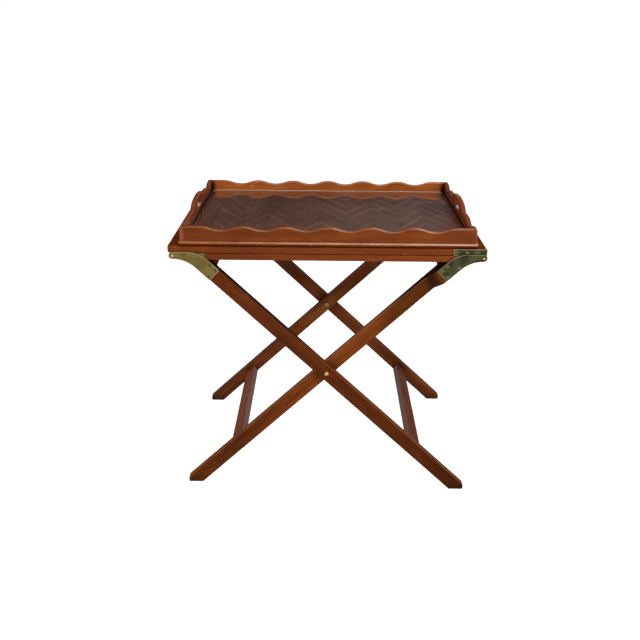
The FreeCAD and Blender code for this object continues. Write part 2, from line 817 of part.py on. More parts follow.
def cross_piece(name, section, reach, place):
    """A rail between two legs, with a tenon at each end."""
    body = new_body(name)
    pad_through(body, "section", box_corners(*section), -reach, reach)
    round_edges(body, "edges", size.leg_edge, lambda edge: runs_along(edge, Vector(0, 1, 0)))
    tenon = reach + size.tenon_length
    pad_through(body, "tenon", tenon_corners(section, NOTHING), -tenon, tenon)
    place(body)


def leg_screw_spots(plate_end):
    """The four plate screws: two at the plate's end, one beyond each, staggered."""
    edge = half_leg - size.screw_edge_inset
    first = plate_end - size.screw_end_inset
    return [(first, edge), (first, -edge), (first - size.screw_near_step, edge),
            (first - size.screw_far_step, -edge)]


def swan_plate(name, side, place, plate_end):
    """A curved plate: straight along the leg, then bent level to the corner pin."""
    body = new_body(name)
    tip = size.tip_radius
    level_high = (half_leg - pin_v - tip * cosine) / sine
    level_low = (-half_leg - pin_v + tip * cosine) / sine
    bend_high = level_high - size.shoulder_start
    bend_low = level_low - size.neck_start
    corner_high = pin_u - tip * sine + level_high * cosine
    corner_low = pin_u + tip * sine + level_low * cosine
    high_start = (corner_high - bend_high * cosine, half_leg - bend_high * sine)
    low_start = (corner_low - bend_low * cosine, -half_leg - bend_low * sine)
    corners = [(plate_end, half_leg), (corner_high + bend_high, half_leg), high_start,
               (pin_u - tip * sine, pin_v + tip * cosine), (pin_u - tip * cosine, pin_v - tip * sine),
               (pin_u + tip * sine, pin_v - tip * cosine), low_start,
               (corner_low + bend_low, -half_leg), (plate_end, -half_leg)]
    bends = {1: (bend_high / half_turn, 1), 3: (tip, 1), 4: (tip, 1), 6: (bend_low / half_turn, -1)}
    reaches = sorted((outer_face * side, plate_face * side), key=plain)
    pad_through(body, "outline", corners, *reaches, bends)
    outer = plate_face * side
    bore_along_y(body, "pin_bore", [(pin_u, pin_v)], size.pin_radius + size.joint_clearance, outer,
                 size.plate_thickness, -side)
    countersink(body, "screw_holes", "XZ_Plane", leg_screw_spots(plate_end), -outer, side == BACK)
    place(body)


def spacer_block(side):
    """Fills the outer leg's width behind an inner leg's plate, with a sloping tail."""
    body = new_body(f"spacer_block_{word(-side)}")
    tail = inner_plate_end + size.block_tail
    corners = [(head_u(-half_leg), -half_leg), (tail, -half_leg), (tail, half_leg),
               (head_u(half_leg), half_leg)]
    reaches = sorted((inner_face * side, outer_face * side), key=plain)
    pad_through(body, "outline", corners, *reaches)
    depth = outer_face - inner_face
    slope = [(tail, inner_face * side), (tail + depth, inner_face * side), (tail, outer_face * side)]
    pad_up(body, "tail", slope if side == BACK else slope[::-1], -half_leg, half_leg)
    bore_along_y(body, "screw_bores", leg_screw_spots(inner_plate_end), pilot_radius(),
                 outer_face * side, depth, -side)
    inner_frame(body)


# Fasteners
def screw_solid(length):
    """A slotted flat-head wood screw that points down from its flush face at the origin."""
    head, shank = plain(size.screw_head_radius), plain(size.screw_radius)
    cone = Part.makeCone(shank, head, head - shank, Vector(0, 0, shank - head))
    body = Part.makeCylinder(shank, length - shank, Vector(0, 0, shank - length))
    point = Part.makeCone(0, shank, shank, Vector(0, 0, -length))
    width, depth = plain(size.slot_width), plain(size.slot_depth)
    slot = Part.makeBox(width, head * 2, depth, Vector(-width / 2, -head, -depth))
    return cone.fuse([body, point]).removeSplitter().cut(slot)


def screws_along_y(spots, face, length):
    """Screws driven in from a front face and its opposite at the back."""
    pieces = []
    for side in (FRONT, BACK):
        rotation = FreeCAD.Rotation(Vector(0, 0, -1), Vector(0, -side, 0))
        for across, along in spots:
            piece = screw_solid(length)
            spot = Vector(plain(across), plain(face) * side, plain(along))
            piece.Placement = FreeCAD.Placement(spot, rotation)
            pieces.append(piece)
    return pieces


def gallery_screws():
    rotation = FreeCAD.Rotation(Vector(1, 0, 0), 180)
    pieces = []
    for across, along in gallery_spots():
        piece = screw_solid(plain(size.gallery_screw_length))
        spot = Vector(plain(across), plain(along), plain(base_bottom))
        piece.Placement = FreeCAD.Placement(spot, rotation)
        pieces.append(piece)
    new_group("gallery_screws", pieces)


def plate_screws():
    length = plain(size.plate_thickness + size.screw_grip)
    upper_head = board_face + size.plate_thickness
    lower_head = frame_face + size.plate_thickness
    new_group("upper_plate_screws", screws_along_y(upper_screw_spots(), upper_head, length))
    new_group("lower_plate_screws", screws_along_y(lower_screw_spots(), lower_head, length))
    outer_spots, inner_spots = leg_screw_spots(outer_plate_end), leg_screw_spots(inner_plate_end)
    outer_frame(new_group("outer_leg_plate_screws", screws_along_y(outer_spots, plate_face, length)))
    long = length + plain(outer_face - inner_face)
    inner_frame(new_group("inner_leg_plate_screws", screws_along_y(inner_spots, plate_face, long)))


def corner_pins(name, place):
    """Headed pins through the leg plates and the hinge plates behind them."""
    radius = plain(size.pin_radius)
    shank = plain(plate_face - board_face - size.pin_end_gap)
    pieces = []
    for side in (FRONT, BACK):
        face = Vector(plain(pin_u), plain(plate_face) * side, plain(pin_v))
        body = Part.makeCylinder(radius, shank, face, Vector(0, -side, 0))
        head = Part.makeCone(plain(size.pin_head_radius), radius, plain(size.pin_head_height),
                             face, Vector(0, side, 0))
        pieces.append(body.fuse(head).removeSplitter())
    place(new_group(name, pieces))


# Centre pivots: both heads look to the front
def centre_bolt(side):
    """A bolt through one crossing, turned about its axis: domed at the front, a cup at the back."""
    near = -outer_face if side == FRONT else inner_back
    far = -inner_back if side == FRONT else outer_face
    length = plain(far) - plain(near) + 2 * plain(size.plate_gap) + plain(size.nut_height)
    head = domed_profile() if side == FRONT else cup_profile()
    first, rim = head[0].Vertexes[0].Point, head[-1].Vertexes[-1].Point
    shank = plain(size.bolt_radius)
    corners = [rim, Vector(shank, 0, 0), Vector(shank, length, 0), Vector(0, length, 0), first]
    outline = Part.Wire(head + [line(*pair) for pair in zip(corners, corners[1:])])
    bolt = doc.addObject("Part::Feature", f"centre_bolt_{word(side)}")
    bolt.Label = f"centre_bolt_{word(side)}"
    bolt.Shape = Part.Face(outline).revolve(Vector(), Vector(0, 1, 0), 360)
    seat = plain(near) - plain(size.plate_gap)
    bolt.Placement.Base = Vector(0, seat, plain(pivot_height))


def domed_profile():
    """Half of a domed head, from its top on the axis to its rim."""
    reach, height = plain(size.bolt_head_radius), plain(size.bolt_head_height)
    radius = (reach ** 2 + height ** 2) / (2 * height)
    half = math.asin(reach / radius) / 2
    middle = Vector(math.sin(half), -math.cos(half), 0) * radius + Vector(0, radius - height, 0)
    return [Part.Arc(Vector(0, -height, 0), middle, Vector(reach, 0, 0)).toShape()]


def cup_profile():
    """Half of a head with a recess, from the recess's floor on the axis to the rim."""
    top, floor = -plain(size.bolt_head_height), plain(size.cup_recess_depth) - plain(size.bolt_head_height)
    recess = plain(size.cup_recess_radius)
    corners = [Vector(0, floor, 0), Vector(recess, floor, 0), Vector(recess, top, 0),
               Vector(plain(size.bolt_head_radius), top, 0), Vector(plain(size.cup_radius), 0, 0)]
    return [line(*pair) for pair in zip(corners, corners[1:])]


def ring(outer, thickness, low_y):
    """A washer on a centre bolt that starts at low_y."""
    spot = Vector(0, low_y, plain(pivot_height))
    hole = plain(size.bolt_radius + size.bolt_clearance)
    disc = Part.makeCylinder(outer, thickness, spot, Vector(0, 1, 0))
    return disc.cut(Part.makeCylinder(hole, thickness, spot, Vector(0, 1, 0)))


def pivot_washers():
    thickness = plain(size.washer_thickness)
    middle = plain(outer_back) - plain(size.leg_gap) / 2
    rings = [ring(plain(size.washer_radius), thickness, side * middle - thickness / 2)
             for side in (FRONT, BACK)]
    new_group("pivot_washers", rings)


def pivot_nuts():
    """Six-sided nuts: inside the front inner leg and outside the back outer leg."""
    height, gap = plain(size.nut_height), plain(size.plate_gap)
    hole = plain(size.bolt_radius + size.bolt_clearance)
    nuts = []
    for face in (-plain(inner_back), plain(outer_face)):
        centre = Vector(0, face + gap, plain(pivot_height))
        turns = [2 * math.pi * place / NUT_SIDES for place in range(NUT_SIDES + 1)]
        rim = [centre + Vector(math.cos(turn), 0, math.sin(turn)) * plain(size.nut_radius) for turn in turns]
        block = Part.Face(Part.makePolygon(rim)).extrude(Vector(0, height, 0))
        nuts.append(block.cut(Part.makeCylinder(hole, height, centre, Vector(0, 1, 0))))
    new_group("pivot_nuts", nuts)


def build():
    tray_base_board()
    gallery_walls()
    herringbone_panel()
    glass_panel()
    tray_felt_pads()
    gallery_screws()
    upper_board_panel()
    stop_batten()
    for place, low_x in cross_rail_starts().items():
        lower_cross_rail(place, low_x)
    rails = {"stretcher": stretcher_section(), "top_rail": top_rail_section()}
    for side in (FRONT, BACK):
        lower_side_rail(side)
        upper_hinge_plate(side)
        lower_hinge_plate(side)
        leg(f"outer_leg_{word(side)}", side, outer_face, outer_frame, rails, outer_plate_end)
        leg(f"inner_leg_{word(-side)}", side, inner_face, inner_frame, rails, inner_plate_end)
        swan_plate(f"outer_leg_plate_{word(side)}", side, outer_frame, outer_plate_end)
        swan_plate(f"inner_leg_plate_{word(-side)}", side, inner_frame, inner_plate_end)
        spacer_block(side)
        centre_bolt(side)
    cross_piece("outer_stretcher", rails["stretcher"], outer_back, outer_frame)
    cross_piece("outer_top_rail", rails["top_rail"], outer_back, outer_frame)
    cross_piece("inner_stretcher", rails["stretcher"], inner_back, inner_frame)
    cross_piece("inner_top_rail", rails["top_rail"], inner_back, inner_frame)
    plate_screws()
    corner_pins("outer_corner_pins", outer_frame)
    corner_pins("inner_corner_pins", inner_frame)
    pivot_washers()
    pivot_nuts()
    doc.recompute()


def sub_parts():
    """The finished pieces: bodies, boxes and shapes that belong to no body."""
    kinds = ("PartDesign::Body", "Part::Box", "Part::Feature")
    return [thing for thing in doc.Objects if thing.TypeId in kinds]


build()
for thing in doc.Objects:
    if "Invalid" in thing.State or "Error" in thing.State:
        raise RuntimeError(f"{thing.Label} failed: {thing.State}")
for piece in sub_parts():
    if piece.Shape.isNull() or not piece.Shape.isValid() or not piece.Shape.Solids:
        raise RuntimeError(f"{piece.Label} has no valid solid")
os.makedirs("parts", exist_ok=True)
for piece in sub_parts():
    piece.Shape.exportStep(f"parts/{piece.Label}.step")
print(len(sub_parts()), "pieces written")
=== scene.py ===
import math
import random

import bpy
from mathutils import Matrix, Vector


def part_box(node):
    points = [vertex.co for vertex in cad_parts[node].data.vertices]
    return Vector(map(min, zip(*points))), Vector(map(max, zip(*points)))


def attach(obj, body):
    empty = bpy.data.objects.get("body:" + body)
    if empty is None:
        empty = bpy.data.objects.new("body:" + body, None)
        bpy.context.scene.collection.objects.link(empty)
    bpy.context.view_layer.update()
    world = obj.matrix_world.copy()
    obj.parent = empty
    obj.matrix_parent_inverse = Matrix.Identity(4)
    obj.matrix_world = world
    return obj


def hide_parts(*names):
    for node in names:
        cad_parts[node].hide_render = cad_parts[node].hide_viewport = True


# Looks of a folding butler's tray table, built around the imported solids. Metres.
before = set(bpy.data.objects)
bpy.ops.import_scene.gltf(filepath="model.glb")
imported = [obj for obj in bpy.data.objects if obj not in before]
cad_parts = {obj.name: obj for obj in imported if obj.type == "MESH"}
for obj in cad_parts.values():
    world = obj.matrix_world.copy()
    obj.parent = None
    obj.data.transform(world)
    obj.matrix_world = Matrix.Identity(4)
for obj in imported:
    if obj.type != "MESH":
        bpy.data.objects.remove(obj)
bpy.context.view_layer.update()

# Camera, as fitted to the photograph
CAMERA_SPOT = (-0.00876, -2.0055, 1.0656)
CAMERA_PITCH = math.radians(69.534)
CAMERA_YAW = math.radians(0.212)
CAMERA_ROLL = math.radians(0.51)
CAMERA_LENS = 49.57
SENSOR = 36.0

# Stage: each lamp has a place, a target, a width, a height and a power
FLOOR_SIZE = 30.0
FLOOR_DROP = 0.0005
FLOOR_GLOW = 0.86
SKY_LIGHT = 0.28
SKY_LEVELS = ((0.0, 1.0), (0.05, 1.0), (0.17, 0.035), (1.0, 0.06))
LAMPS = {
    "key": ((1.2, -2.3, 1.8), (0.3, 0.0, 0.45), 1.6, 0.25, 27.0),
    "fill": ((-0.6, -2.5, 1.75), (-0.1, 0.0, 0.4), 1.6, 0.35, 16.0),
    "top": ((0.2, -0.4, 2.4), (0.0, 0.0, 0.5), 1.4, 0.3, 7.0),
    "back": ((1.1, 3.2, 1.05), (0.0, 0.0, 0.6), 2.2, 0.4, 6.0),
}

# Grain directions
LEG_SLOPE = math.radians(43.15)
ALONG_X = (0.0, 0.0, 0.0)
ALONG_Y = (0.0, 0.0, -math.pi / 2)
ALONG_OUTER_LEG = (0.0, -LEG_SLOPE, 0.0)
ALONG_INNER_LEG = (0.0, LEG_SLOPE, 0.0)

# Zigzag floor of the tray
STRIP_WIDTH = 0.0148
STRIP_ANGLE = math.radians(64)
COLUMN_WIDTH = 0.059
COLUMN_START = 0.041
STRIP_GAP = 0.00025
STRIP_BEVEL = 0.0003
STRIP_SEAM = 0.0012
LEAST_STRIP = 0.000006
SLAB_SHARE = 0.6
STRIP_TONE = 0.45
STRIP_SPREAD = 0.2
STRIP_SWING = (0.18, 0.3)
SEAM_SHADE = 0.5
OWN_SHARE = 0.6
FIBRE_SHARE = 0.4
GRAIN_SHIFT = 3
SEED = 7
PARALLEL = 0.01

# Painted shade on the floor along the walls, and a stain
WALL_SHADE = (0.016, 0.007)
LONG_WALL_SHARE = 0.4
STAIN_SPOT = (-0.132, 0.07, 0.58)
STAIN_REACH = (0.042, 0.18, 0.05)
STAIN_STRENGTH = 0.6

# Wear and painted shade: how much sky an open face and a darkened corner see, and the share of its reach
# where a mark is full
BEVEL_SAMPLES = 6
SKY_SAMPLES = 8
CORNER_SKY = (0.8, 0.3)
MOST_DARKENING = 0.92
FULL_SHARE = 0.4

# Grain of the wood: one stretch along it and two across it
BROAD_GRAIN = (1.6, 11.0, 11.0)
FIGURE_GRAIN = (5.0, 70.0, 70.0)
PATCH_GRAIN = (13.0, 30.0, 30.0)
PORE_GRAIN = (32.0, 900.0, 900.0)
BROAD_SHARE = 0.3
FIGURE_SHARE = 0.4
PATCH_SHARE = 0.3
MOTTLE_SCALE = 34.0
SHIFT_WAY = (1.0, 1.7, 0.6)
GRAIN_STOPS = (0.36, 0.5, 0.64)
PORE_BAND = (0.56, 0.70)
PORE_DARK = 0.55
WOOD_EDGE = 0.0022
WOOD_EDGE_BAND = (0.80, 0.97)
WOOD_RUB = 0.75
RUB_PATCHES = (0.42, 0.66)

# Painted highlights on the rims of the wood, also standing for wear: bands of the way in which a face
# looks, and the span of the table from left to right
RIM_RISE = (0.08, 0.36)
RIM_FALL = (0.75, 0.95)
RIM_FLAT = 0.4
RIM_LEAN = (-0.15, 0.25)
RIM_SPAN = (-0.3, 0.22)
RIM_LEFT = 0.65
# Bands of facing for the painted grey reflection and for the painted shadow of the top, and the strongest
# painted reflection
SLANT = (0.3, 0.6)
PAINTED_SHEEN_MOST = 0.65

# Brass plates and their screws
BRASS_EDGE = 0.0028
BRASS_EDGE_BAND = (0.75, 0.97)
BRASS_RECESS = 0.004
SCREW_HEAD = 0.008
SCREW_REACH = (0.0052, 1.0, 0.0052)

# Glass: faces that look up or down less than FLAT_FACE are its edge
GLASS_TINT = (0.90, 0.955, 0.93, 1.0)
GLASS_SHADOW = (0.93, 0.97, 0.95, 1.0)
GLASS_IOR = 1.5
FLAT_FACE = 0.8


def linear(channel):
    share = channel / 255
    return share / 12.92 if share <= 0.04045 else ((share + 0.055) / 1.055) ** 2.4


def tone(red, green, blue):
    """A colour written in screen values."""
    return (linear(red), linear(green), linear(blue), 1.0)


def grey(value):
    """A grey written in linear values, also above 1 as a gain."""
    return (value, value, value, 1.0)


WHITE = grey(1.0)

# Colours of wear and stains, and of painted highlights, reflections, light and shade
# Rim colours at the left of the table: painted highlights that also stand for wear
WARM_RIM = tone(212, 142, 92)
LEG_RIM = tone(190, 104, 44)
# A grey painted reflection on faces that look to one side
PAINTED_SHEEN_TONE = tone(164, 142, 134)
CHIP = tone(184, 124, 88)
# Pale chips, and painted light on the floors of the hand slots
PALE = tone(232, 204, 190)
# A painted highlight on the rounded left end of the front rail
PAINTED_END_HIGHLIGHT = tone(150, 86, 56)
# Dark stains, and the painted shadow of the top on the legs
STAIN_AND_SHADOW = tone(34, 14, 6)
# Painted shade in the back corners of the tray
CORNER_SHADE = tone(50, 22, 12)
SHADE = tone(65, 31, 20)
# Grime and painted shade in corners and gaps
WOOD_DIRT_AND_SHADE = tone(26, 11, 5)
# Rubbed brass edges, with a painted highlight
BRASS_WEAR_AND_HIGHLIGHT = tone(208, 194, 148)
BRASS_DIRT = tone(22, 18, 10)
FLOOR_CLOUD = tone(72, 42, 30)
# Painted shade on the floor along the walls
FLOOR_WALL_SHADE = tone(26, 17, 14)
FLOOR_STAIN = tone(84, 44, 18)

# Woods: dark, middle and light grain, and the colour of rubbed edges, which also paints the rim
# highlights
TRAY_TONES = (tone(102, 43, 10), tone(124, 57, 14), tone(146, 73, 20), tone(216, 172, 148))
# Lighter tones for the back rail: painted light
BACK_TONES = (tone(138, 66, 24), tone(164, 85, 35), tone(186, 102, 44), tone(214, 170, 148))
# Raised tones for the handle rails: painted light on their inner faces
END_TONES = (tone(122, 57, 32), tone(148, 73, 42), tone(172, 92, 54), tone(214, 170, 148))
BOARD_TONES = (tone(100, 42, 10), tone(121, 55, 13), tone(144, 70, 20), tone(192, 126, 84))
LEG_TONES = (tone(78, 34, 14), tone(105, 49, 18), tone(135, 69, 23), tone(190, 112, 60))
GOLD_LEG_TONES = (tone(77, 35, 13), tone(105, 51, 17), tone(134, 71, 24), tone(206, 146, 108))
# Lighter tones for the back legs: painted light against the shade of the top; the top rails share them
PALE_LEG_TONES = (tone(90, 42, 16), tone(120, 60, 24), tone(152, 84, 36), tone(188, 120, 78))
STRETCHER_TONES = (tone(126, 66, 44), tone(160, 88, 60), tone(190, 110, 78), tone(204, 142, 104))
DARK_STRETCHER_TONES = (tone(98, 50, 34), tone(124, 67, 46), tone(148, 85, 60), tone(190, 130, 96))
STRIP_TONES = (tone(96, 44, 26), tone(129, 70, 53), tone(158, 106, 96))
STRIP_STOPS = (0.15, 0.5, 0.85)


class Shader:
    """The nodes of a material or of the world, under construction."""

    def __init__(self, owner):
        self.owner = owner
        owner.use_nodes = True
        self.tree = owner.node_tree
        self.tree.nodes.clear()

    def node(self, kind, values=None, **settings):
        made = self.tree.nodes.new(kind)
        for key, value in settings.items():
            setattr(made, key, value)
        for socket, value in (values or {}).items():
            self.feed(made.inputs[socket], value)
        return made

    def feed(self, socket, value):
        if isinstance(value, bpy.types.NodeSocket):
            self.tree.links.new(value, socket)
        else:
            socket.default_value = value

    def spot(self):
        """Coordinates of the piece itself."""
        return self.node("ShaderNodeTexCoord").outputs["Object"]

    def parts(self, vector):
        """A vector as X, Y and Z."""
        return self.node("ShaderNodeSeparateXYZ", {0: vector}).outputs

    def facing(self):
        """The way in which a face of the piece looks, as X, Y and Z."""
        return self.parts(self.node("ShaderNodeTexCoord").outputs["Normal"])

    def place(self, turn=(0.0, 0.0, 0.0), offset=(0.0, 0.0, 0.0), stretch=(1.0, 1.0, 1.0)):
        """Coordinates of the piece, turned, moved and stretched."""
        turned = self.node("ShaderNodeMapping", {"Vector": self.spot(), "Location": offset,
                                                 "Rotation": turn})
        scaled = self.node("ShaderNodeMapping", {"Vector": turned.outputs[0], "Scale": stretch})
        return scaled.outputs[0]

    def away(self, centre, reach):
        """The distance from one place of the piece, 1 at its reach."""
        scaled = self.node("ShaderNodeMapping", {
            "Vector": self.spot(),
            "Location": [-place / size for place, size in zip(centre, reach)],
            "Scale": [1 / size for size in reach],
        })
        length = self.node("ShaderNodeVectorMath", {0: scaled.outputs[0]}, operation="LENGTH")
        return length.outputs["Value"]

    def noise(self, vector, scale=1.0, detail=4.0, roughness=0.55, distortion=0.0):
        made = self.node("ShaderNodeTexNoise", {"Vector": vector, "Scale": scale, "Detail": detail,
                                                "Roughness": roughness, "Distortion": distortion})
        return made.outputs["Fac"]

    def ramp(self, value, stops):
        made = self.node("ShaderNodeValToRGB", {"Fac": value})
        band = made.color_ramp
        while len(band.elements) < len(stops):
            band.elements.new(0.5)
        for element, (spot, colour) in zip(band.elements, stops):
            element.position = spot
            element.color = colour
        return made.outputs["Color"]

    def levels(self, value, low, high, first=0.0, last=1.0):
        made = self.node("ShaderNodeMapRange", {"Value": value, "From Min": low, "From Max": high,
                                                "To Min": first, "To Max": last})
        return made.outputs["Result"]

    def mix(self, share, first, second, blend="MIX"):
        """Two colours by share. The node keeps its colours in sockets 6 and 7 and its result in 2."""
        values = {0: share, 6: first, 7: second}
        return self.node("ShaderNodeMix", values, data_type="RGBA", blend_type=blend).outputs[2]

    def math(self, operation, first, second=0.0, third=0.0):
        values = {0: first, 1: second, 2: third}
        return self.node("ShaderNodeMath", values, operation=operation).outputs[0]

    def product(self, first, *others):
        for other in others:
            first = self.math("MULTIPLY", first, other)
        return first

    def corners(self, depth, most=MOST_DARKENING):
        """Highest deep in the corners between pieces, 0 on open faces."""
        sky = self.node("ShaderNodeAmbientOcclusion", {"Distance": depth}, samples=SKY_SAMPLES)
        return self.levels(sky.outputs["AO"], *CORNER_SKY, 0.0, most)

    def mark(self, colour, centre, reach, paint, strength=1.0):
        """A worn or dirty patch around one place of the piece."""
        share = self.levels(self.away(centre, reach), 1.0, FULL_SHARE, 0.0, strength)
        return self.mix(share, colour, paint)

    def rounded(self, radius):
        """The normal of the piece with its edges rounded."""
        return self.node("ShaderNodeBevel", {"Radius": radius}, samples=BEVEL_SAMPLES).outputs[0]

    def edges(self, radius, low, high):
        """1 along the edges of the piece, 0 on its faces."""
        ways = {0: self.rounded(radius), 1: self.node("ShaderNodeNewGeometry").outputs["Normal"]}
        dot = self.node("ShaderNodeVectorMath", ways, operation="DOT_PRODUCT")
        return self.levels(dot.outputs["Value"], high, low)

    def bump(self, height, strength, distance, radius=0.0):
        """A rough surface, whose sharp edges look slightly rounded where a radius is given."""
        values = {"Height": height, "Strength": strength, "Distance": distance}
        if radius:
            values["Normal"] = self.rounded(radius)
        return self.node("ShaderNodeBump", values).outputs["Normal"]

    def showing(self):
        """1 for rays that show a surface, directly, reflected or through glass, and 0 for the others."""
        path = self.node("ShaderNodeLightPath").outputs
        seen = self.math("MAXIMUM", path["Is Camera Ray"], path["Is Glossy Ray"])
        return self.math("MAXIMUM", seen, path["Is Transmission Ray"])

    def principled(self, values):
        return self.node("ShaderNodeBsdfPrincipled", values).outputs[0]

    def finish_clear(self, surface):
        """Ends a glass that lets the lamps reach what lies under it."""
        lamps = self.node("ShaderNodeLightPath").outputs["Is Shadow Ray"]
        clear = self.node("ShaderNodeBsdfTransparent", {"Color": GLASS_SHADOW})
        both = self.node("ShaderNodeMixShader", {0: lamps, 1: surface, 2: clear.outputs[0]})
        return self.finish(both.outputs[0])

    def finish(self, surface, kind="ShaderNodeOutputMaterial"):
        output = self.node(kind)
        self.tree.links.new(surface, output.inputs["Surface"])
        return self.owner


def new_material(name):
    """An empty material, ready for its nodes."""
    return Shader(bpy.data.materials.new(name))


# Wood
def grain(shader, turn, shift, tones):
    """The figure of the wood along one direction, without its pores."""
    broad = shader.noise(shader.place(turn, shift, BROAD_GRAIN), detail=3.0, distortion=0.4)
    figure = shader.noise(shader.place(turn, shift, FIGURE_GRAIN), detail=5.0, distortion=0.7)
    patch = shader.noise(shader.place(turn, shift, PATCH_GRAIN), detail=4.0, roughness=0.65)
    blend = shader.math("MULTIPLY_ADD", broad, BROAD_SHARE, shader.math("MULTIPLY", patch, PATCH_SHARE))
    blend = shader.math("MULTIPLY_ADD", figure, FIGURE_SHARE, blend)
    return shader.ramp(blend, list(zip(GRAIN_STOPS, tones)))


def tint(shader, colour, across, tints):
    """Painted light and shade as lighter and darker stretches: each has a place along X, a reach and a
    gain.
    """
    for place, reach, gain in tints:
        away = shader.math("ABSOLUTE", shader.math("SUBTRACT", across, place))
        near = shader.levels(away, reach, reach * FULL_SHARE)
        colour = shader.mix(near, colour, grey(gain), "MULTIPLY")
    return colour


def paint_rim_highlights(shader, colour, facing, across, mottle, rim, lean, warm, wear_and_highlight_tone):
    """Painted highlights on roundings that look partly up, also standing for wear: warm at the left of
    the table, paler at its right and on faces that look right.
    """
    level = shader.product(
        shader.levels(facing["Z"], *RIM_RISE, 0.0, rim),
        shader.levels(facing["Z"], *RIM_FALL, 1.0, RIM_FLAT),
        shader.levels(facing["X"], *RIM_LEAN, 1.0 - lean, 1.0),
        shader.levels(mottle, 0.3, 0.6, 0.6, 1.0),
        shader.levels(across, *RIM_SPAN, RIM_LEFT, 1.0),
    )
    paint = shader.mix(shader.levels(across, *RIM_SPAN), warm, wear_and_highlight_tone)
    return shader.mix(level, colour, paint)


def wood(name, turn, tones, offset=0.0, depth=0.012, dirt_and_shade=MOST_DARKENING, coat=0.15, rim=0.0, lean=0.0,
         warm=WARM_RIM, painted_sheen=0, covered=(), tints=(), marks=()):
    """Varnished mahogany with its grain along one direction, rubbed at edges, and darker in corners and
    gaps as grime and painted shade.

    rim paints highlights on the roundings, also standing for wear, and lean spares those that look to the
    left. A grey painted reflection falls on the faces that look right (1) or left (-1), by the sign given
    for it. covered paints the shadow of the top on upper faces, from one height up to another. tints
    paint light and shade along the piece, and marks add wear, stains, painted highlights and painted
    shade.
    """
    dark, middle, light, wear_and_highlight_tone = tones
    shader = new_material(name)
    shift = [offset * way for way in SHIFT_WAY]
    facing = shader.facing()
    spot = shader.parts(shader.spot())
    mottle = shader.noise(shader.place(turn, shift), scale=MOTTLE_SCALE, detail=3.0)
    streak = shader.levels(shader.noise(shader.place(turn, shift, PORE_GRAIN), detail=2.0), *PORE_BAND)
    colour = grain(shader, turn, shift, (dark, middle, light))
    colour = shader.mix(shader.math("MULTIPLY", streak, PORE_DARK), colour, dark)
    # Painted light and shade along the piece
    colour = tint(shader, colour, spot["X"], tints)
    edges = shader.edges(WOOD_EDGE, *WOOD_EDGE_BAND)
    rubbed = shader.product(edges, shader.levels(mottle, *RUB_PATCHES), WOOD_RUB)
    colour = shader.mix(rubbed, colour, wear_and_highlight_tone)
    # A grey painted reflection on faces that look to one side
    if painted_sheen:
        level = shader.levels(shader.math("MULTIPLY", facing["X"], painted_sheen), *SLANT, 0.0, PAINTED_SHEEN_MOST)
        colour = shader.mix(level, colour, PAINTED_SHEEN_TONE)
    # Painted highlights on the roundings, also standing for wear
    if rim:
        colour = paint_rim_highlights(shader, colour, facing, spot["X"], mottle, rim, lean, warm, wear_and_highlight_tone)
    # Painted shadow of the top on the upper faces
    if covered:
        upper = shader.levels(facing["Z"], *SLANT, 0.0, MOST_DARKENING)
        colour = shader.mix(shader.product(shader.levels(spot["Z"], *covered), upper), colour, STAIN_AND_SHADOW)
    # Grime and painted shade in corners and gaps
    colour = shader.mix(shader.corners(depth, dirt_and_shade), colour, WOOD_DIRT_AND_SHADE)
    # Marks of wear and stains, and painted highlights and painted shade
    for centre, reach, paint in marks:
        colour = shader.mark(colour, centre, reach, paint)
    height = shader.math("MULTIPLY_ADD", streak, -0.6, shader.math("MULTIPLY", mottle, 0.5))
    return shader.finish(shader.principled({
        "Base Color": colour,
        "Roughness": shader.levels(mottle, 0.3, 0.7, 0.3, 0.48),
        "Normal": shader.bump(height, 0.18, 0.0004, 0.0007),
        "Specular IOR Level": 0.0,
        "Coat Weight": coat,
        "Coat Roughness": 0.13,
    }))


# Metals
def screw_spots(*names):
    """The middle of each screw of some nodes, those of the front and back as one."""
    groups = []
    for name in names:
        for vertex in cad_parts[name].data.vertices:
            spot = vertex.co.xz
            group = next((found for found in groups if (found[0] - spot).length < SCREW_HEAD), None)
            if group is None:
                groups.append([spot])
            else:
                group.append(spot)
    middles = [sum(group, Vector((0.0, 0.0))) / len(group) for group in groups]
    return [(middle.x, 0.0, middle.y) for middle in middles]


def brass(name, bright, dull, offset=0.0, rub_and_highlight=0.8, polish=0.0, screws=()):
    """Old brass: dull patches, fine scratches, grime in recesses, and pale edges, rubbed and lit by a
    painted highlight, except at screws.
    """
    shader = new_material(name)
    shift = (offset, offset, offset)
    patches = shader.noise(shader.place(offset=shift), scale=55.0, detail=6.0, roughness=0.65)
    specks = shader.noise(shader.place(offset=shift), scale=420.0, detail=3.0)
    scratches = shader.noise(shader.place(offset=shift, stretch=(90.0, 90.0, 1500.0)), detail=2.0)
    colour = shader.ramp(patches, [(0.34, dull), (0.62, bright)])
    colour = shader.mix(shader.levels(specks, 0.60, 0.72, 0.0, 0.6), colour, dull)
    clear = [shader.levels(shader.away(spot, SCREW_REACH), 0.8, 1.0) for spot in screws]
    # Pale edges: wear with a painted highlight, spared around the screws
    rubbed = shader.product(shader.edges(BRASS_EDGE, *BRASS_EDGE_BAND), *clear, rub_and_highlight)
    colour = shader.mix(rubbed, colour, BRASS_WEAR_AND_HIGHLIGHT)
    colour = shader.mix(shader.corners(BRASS_RECESS), colour, BRASS_DIRT)
    height = shader.math("MULTIPLY_ADD", scratches, 0.5, shader.math("MULTIPLY", specks, 0.6))
    return shader.finish(shader.principled({
        "Base Color": colour,
        "Metallic": 1.0,
        "Roughness": shader.levels(patches, 0.3, 0.7, 0.36 - polish, 0.56 - polish),
        "Normal": shader.bump(height, 0.25, 0.0003, 0.0005),
    }))


